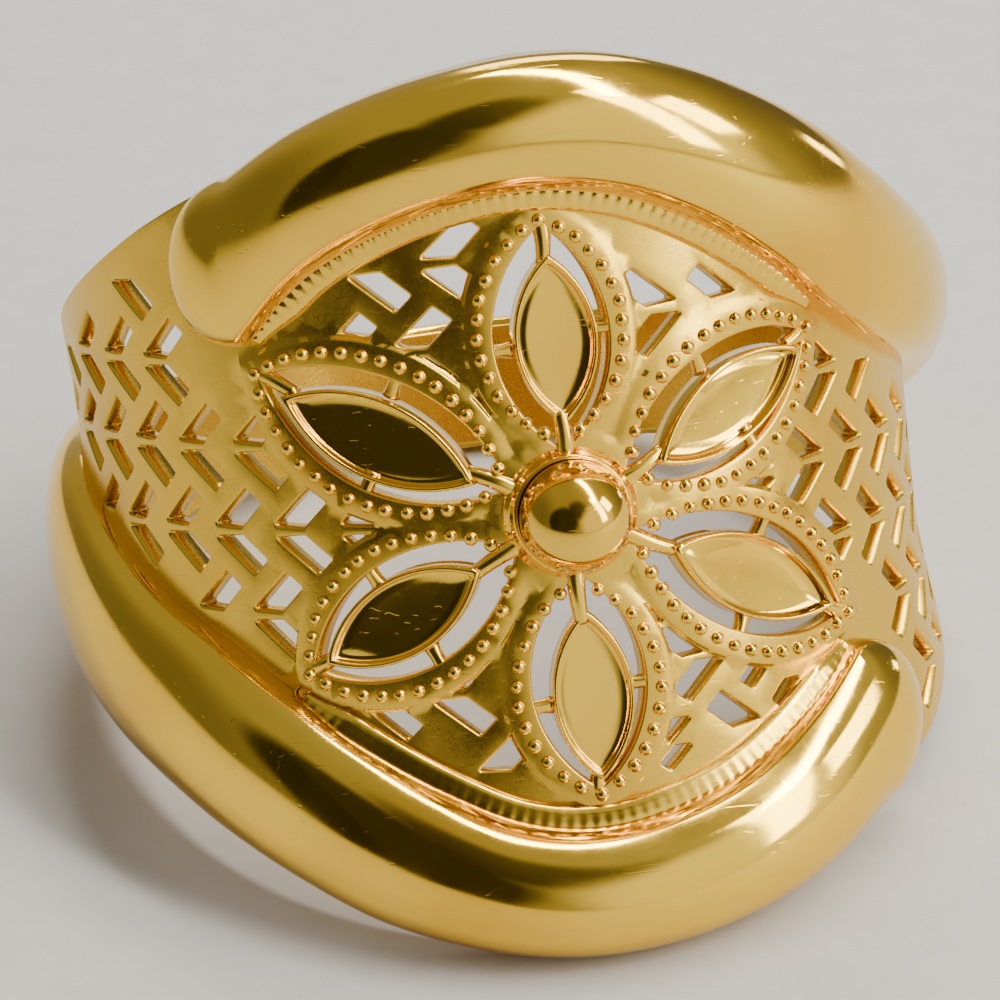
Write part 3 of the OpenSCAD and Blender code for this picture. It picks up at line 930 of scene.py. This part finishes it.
def gold(name, rough, vary, scratch, bump, grain_scale, tone=1.0, deep=None):
    m = bpy.data.materials.new(name)
    m.use_nodes = True
    nt = m.node_tree
    nodes, links = nt.nodes, nt.links
    bsdf = nodes["Principled BSDF"]
    bsdf.inputs["Metallic"].default_value = 1.0
    geo = nodes.new("ShaderNodeTexCoord")
    scale = nodes.new("ShaderNodeMapping")
    scale.inputs["Scale"].default_value = (1000.0, 1000.0, 1000.0)
    links.new(geo.outputs["Object"], scale.inputs["Vector"])

    def noise(sc, detail, rough_=0.5, dist=0.0, vec=None):
        n = nodes.new("ShaderNodeTexNoise")
        n.inputs["Scale"].default_value = sc
        n.inputs["Detail"].default_value = detail
        n.inputs["Roughness"].default_value = rough_
        n.inputs["Distortion"].default_value = dist
        links.new((vec or scale).outputs["Vector"], n.inputs["Vector"])
        return n

    def ramp(src, stops):
        r = nodes.new("ShaderNodeValToRGB")
        e = r.color_ramp.elements
        while len(e) < len(stops):
            e.new(0.5)
        for k, (pos, col) in enumerate(stops):
            e[k].position = pos
            e[k].color = (*col, 1) if len(col) == 3 else col
        links.new(src, r.inputs["Fac"])
        return r

    # tone: slow drift between a redder and a greener yellow
    drift = noise(0.22, 1.0, 0.55)
    g = [c * tone for c in GOLD]
    dark = deep or (g[0] * 0.90, g[1] * 0.82, g[2] * 0.72)
    col = ramp(drift.outputs["Fac"], [(0.30, dark), (0.52, tuple(g)), (0.72, (min(1, g[0] * 1.05), g[1] * 1.06, g[2] * 1.10))])
    links.new(col.outputs["Color"], bsdf.inputs["Base Color"])
    # roughness: smears and handling marks
    smear = noise(0.9, 1.0, 0.6)
    fine = noise(grain_scale, 1.0)
    mix = nodes.new("ShaderNodeMix")
    mix.data_type = "FLOAT"
    mix.inputs["Factor"].default_value = 0.35
    links.new(smear.outputs["Fac"], mix.inputs["A"])
    links.new(fine.outputs["Fac"], mix.inputs["B"])
    rr = nodes.new("ShaderNodeMapRange")
    rr.inputs["From Min"].default_value = 0.3
    rr.inputs["From Max"].default_value = 0.7
    rr.inputs["To Min"].default_value = rough
    rr.inputs["To Max"].default_value = rough + vary
    links.new(mix.outputs["Result"], rr.inputs["Value"])
    links.new(rr.outputs["Result"], bsdf.inputs["Roughness"])
    # relief: hairline scratches in two directions and slow waviness
    heights = []
    for rot, sc, thr in (((0.3, 0.5, 0.7), 0.8, 0.70), ((1.1, 0.2, 2.1), 1.1, 0.71)):
        mp = nodes.new("ShaderNodeMapping")
        mp.inputs["Rotation"].default_value = rot
        mp.inputs["Scale"].default_value = (0.35 * sc, 7.0 * sc, 7.0 * sc)
        links.new(scale.outputs["Vector"], mp.inputs["Vector"])
        n = noise(1.0, 1.0, 0.5, 0.0, mp)
        r = nodes.new("ShaderNodeMapRange")
        r.inputs["From Min"].default_value = thr
        r.inputs["From Max"].default_value = thr + 0.03
        r.inputs["To Min"].default_value = 0.0
        r.inputs["To Max"].default_value = -scratch
        links.new(n.outputs["Fac"], r.inputs["Value"])
        heights.append(r.outputs["Result"])
    wav = noise(0.55, 0.0, 0.45)
    sc1 = nodes.new("ShaderNodeMath")
    sc1.operation = "MULTIPLY"
    sc1.inputs[1].default_value = bump
    links.new(wav.outputs["Fac"], sc1.inputs[0])
    total = sc1.outputs["Value"]
    for h in heights:
        add = nodes.new("ShaderNodeMath")
        add.operation = "ADD"
        links.new(total, add.inputs[0])
        links.new(h, add.inputs[1])
        total = add.outputs["Value"]
    bp = nodes.new("ShaderNodeBump")
    bp.inputs["Strength"].default_value = 1.0
    bp.inputs["Distance"].default_value = 0.001
    links.new(total, bp.inputs["Height"])
    links.new(bp.outputs["Normal"], bsdf.inputs["Normal"])
    MATS[name] = m
    return m


gold("gold_polished", 0.07, 0.08, 0.0010, 0.012, 9.0)
gold("gold_plate", 0.07, 0.08, 0.0015, 0.006, 11.0)
gold("gold_sheet", 0.22, 0.12, 0.0010, 0.014, 14.0, 0.86)
gold("gold_bead", 0.14, 0.10, 0.001, 0.012, 12.0)

# each plate leans its own way: slope across, slope along
PLATE_SHIFT = [0.09, 0.14, 0.0, -0.07, 0.03, -0.12]
PLATE_TILT = [(-0.08, 0.01), (-0.02, 0.03), (0.01, -0.02), (0.03, 0.0), (0.02, 0.02), (-0.02, -0.01)]

made = [build_sheet(), build_crescents(), build_stems(), build_beads(), build_ledge(), build_collar()]
made += [build_plate(i, p) for i, p in enumerate(PETALS)]
ball = build_ball()
for ob in made:
    crescent = ob.name.startswith("crescent")
    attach(ob, "root")
    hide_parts("crescent_shank" if crescent else "pierced_band")
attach(ball, "root")
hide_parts("centre_ball")

# ---------------------------------------------------------------------------
# Floor and light
# ---------------------------------------------------------------------------
floor_me = bpy.data.meshes.new("floor")
S = 0.6
floor_me.from_pydata([(-S, -S, 0), (S, -S, 0), (S, S, 0), (-S, S, 0)], [], [(0, 1, 2, 3)])
floor = bpy.data.objects.new("floor", floor_me)
bpy.context.scene.collection.objects.link(floor)
fm = bpy.data.materials.new("floor_paper")
fm.use_nodes = True
fb = fm.node_tree.nodes["Principled BSDF"]
fb.inputs["Roughness"].default_value = 0.7
fn = fm.node_tree.nodes.new("ShaderNodeTexNoise")
fn.inputs["Scale"].default_value = 900.0
fn.inputs["Detail"].default_value = 2.0
fr = fm.node_tree.nodes.new("ShaderNodeValToRGB")
fr.color_ramp.elements[0].color = (0.50, 0.485, 0.465, 1)
fr.color_ramp.elements[1].color = (0.57, 0.555, 0.53, 1)
fc = fm.node_tree.nodes.new("ShaderNodeTexCoord")
fm.node_tree.links.new(fc.outputs["Object"], fn.inputs["Vector"])
fm.node_tree.links.new(fn.outputs["Fac"], fr.inputs["Fac"])
fm.node_tree.links.new(fr.outputs["Color"], fb.inputs["Base Color"])
floor_me.materials.append(fm)


def area(name, az_, el_, dist, size, size_y, power, colour=(1, 1, 1), target=(0, 0, 0.009)):
    d = bpy.data.lights.new(name, "AREA")
    d.shape = "RECTANGLE"
    d.size, d.size_y = size, size_y
    d.energy = power
    d.color = colour
    o = bpy.data.objects.new(name, d)
    a, e = math.radians(az_), math.radians(el_)
    pos = Vector((math.sin(a) * math.cos(e), -math.cos(a) * math.cos(e), math.sin(e))) * dist
    o.location = Vector(target) + pos
    o.rotation_mode = "QUATERNION"
    o.rotation_quaternion = pos.to_track_quat("Z", "Y")
    bpy.context.scene.collection.objects.link(o)
    return o


def aim(ob, pos, target, along):
    """Point a light at the target with its long side lying along a direction."""
    z = (Vector(pos) - Vector(target)).normalized()
    x = Vector(along) - z * Vector(along).dot(z)
    x.normalize()
    y = z.cross(x)
    m = Matrix((x, y, z)).transposed().to_4x4()
    m.translation = Vector(pos)
    ob.matrix_world = m


# azimuth 0 is in front of the ring, 90 to its right
overhead = area("strip_overhead", 0, 80, 0.25, 0.36, 0.035, 1.05, (1.0, 0.97, 0.90))
aim(overhead, (0.08, 0.025, 0.255), (0, 0, 0.009), (0.5, -0.86, 0.0))
area("strip_right", 50, 33, 0.30, 0.06, 0.28, 0.55, (1.0, 0.97, 0.90))
area("strip_far_right", 71, 29, 0.30, 0.08, 0.12, 0.30, (1.0, 0.97, 0.90))
area("back", 165, 26, 0.30, 0.14, 0.10, 0.22, (1.0, 0.95, 0.86))
area("right_low", 116, 3, 0.30, 0.035, 0.03, 0.03, (1.0, 0.95, 0.86))

world = bpy.data.worlds.new("studio")
bpy.context.scene.world = world
world.use_nodes = True
wn, wl = world.node_tree.nodes, world.node_tree.links
bg = wn["Background"]
wc = wn.new("ShaderNodeTexCoord")


def toward(az_, el_, inner, outer):
    """1 inside the inner angle round a direction, 0 beyond the outer one."""
    a, e = math.radians(az_), math.radians(el_)
    dot = wn.new("ShaderNodeVectorMath")
    dot.operation = "DOT_PRODUCT"
    dot.inputs[1].default_value = (math.sin(a) * math.cos(e), -math.cos(a) * math.cos(e), math.sin(e))
    wl.new(wc.outputs["Generated"], dot.inputs[0])
    m = wn.new("ShaderNodeMapRange")
    m.interpolation_type = "SMOOTHSTEP"
    m.inputs["From Min"].default_value = math.cos(math.radians(outer))
    m.inputs["From Max"].default_value = math.cos(math.radians(inner))
    wl.new(dot.outputs["Value"], m.inputs["Value"])
    return m.outputs["Result"]


# the dark end of the studio lies in front and to the left
shade_low = toward(-38, 20, 24, 34)
shade_high = toward(-8, 46, 12, 24)
shade_max = wn.new("ShaderNodeMath")
shade_max.operation = "MAXIMUM"
wl.new(shade_low, shade_max.inputs[0])
wl.new(shade_high, shade_max.inputs[1])
shade = shade_max.outputs["Value"]
level = None
for part, amount in ((shade, -0.335), (toward(36, 12, 26, 42), 0.75), (toward(70, 40, 10, 70), 0.10),
                     (toward(-98, 0, 12, 55), -0.20), (toward(125, 2, 12, 50), -0.22)):
    term = wn.new("ShaderNodeMath")
    term.operation = "MULTIPLY_ADD"
    term.inputs[1].default_value = amount
    wl.new(part, term.inputs[0])
    if level is None:
        term.inputs[2].default_value = 0.38
    else:
        wl.new(level.outputs["Value"], term.inputs[2])
    level = term
lev2 = wn.new("ShaderNodeMath")
lev2.operation = "MAXIMUM"
lev2.inputs[1].default_value = 0.03
wl.new(level.outputs["Value"], lev2.inputs[0])
bg.inputs["Color"].default_value = (1.0, 0.97, 0.92, 1)
wl.new(lev2.outputs["Value"], bg.inputs["Strength"])
